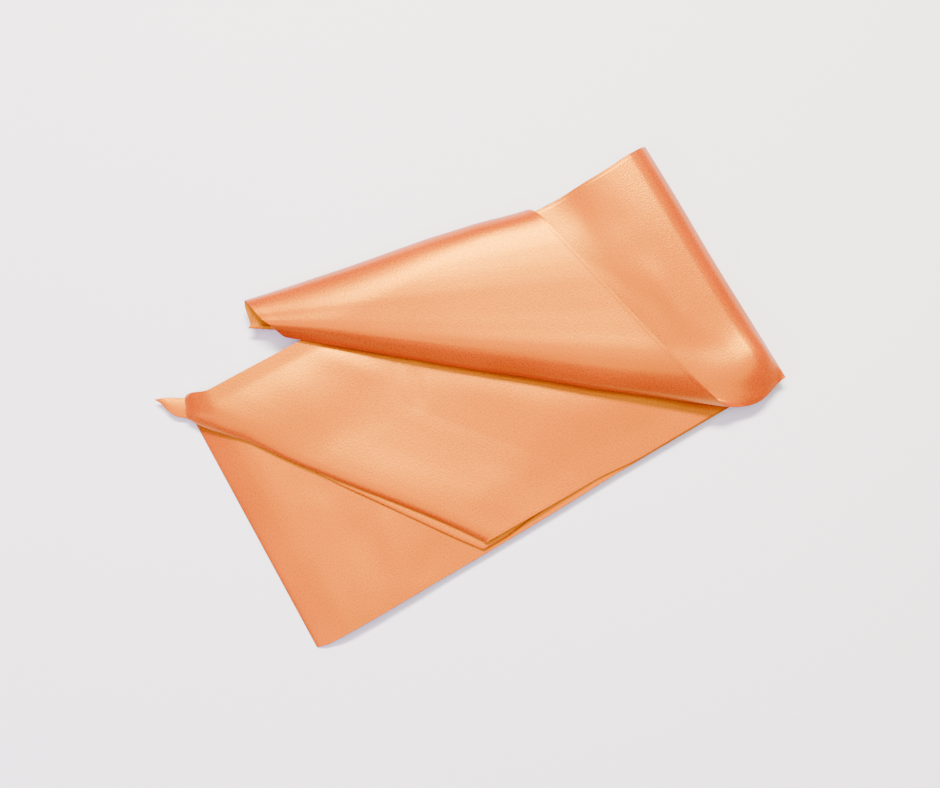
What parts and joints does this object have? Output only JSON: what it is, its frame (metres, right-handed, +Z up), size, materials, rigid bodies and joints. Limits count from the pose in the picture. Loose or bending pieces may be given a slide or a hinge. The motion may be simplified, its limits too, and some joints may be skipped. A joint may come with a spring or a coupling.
{
  "type": "satin sash",
  "caption": "Peach satin sash folded back and forth into a flat pack, one end turned over the top and rolled into a long cone.",
  "frame": {"origin": "middle of the bounding box at the surface the pack lies on", "axes": "+X along the pack's long side toward the soft fold the top stretch comes round; +Y across the band, toward the side the flap's point leans out over; +Z up"},
  "size_m": [0.3116, 0.1916, 0.0273],
  "materials": {
    "satin": "glossy peach-orange satin weave with narrow rolled hems"
  },
  "bodies": {
    "root": {"hidden_layers": "satin", "lower_stretch": "satin", "tucked_stretch": "satin", "main_stretch": "satin", "corner_tip": "satin", "turned_stretch": "satin", "rolled_flap": "satin"}
  },
  "joints": []
}
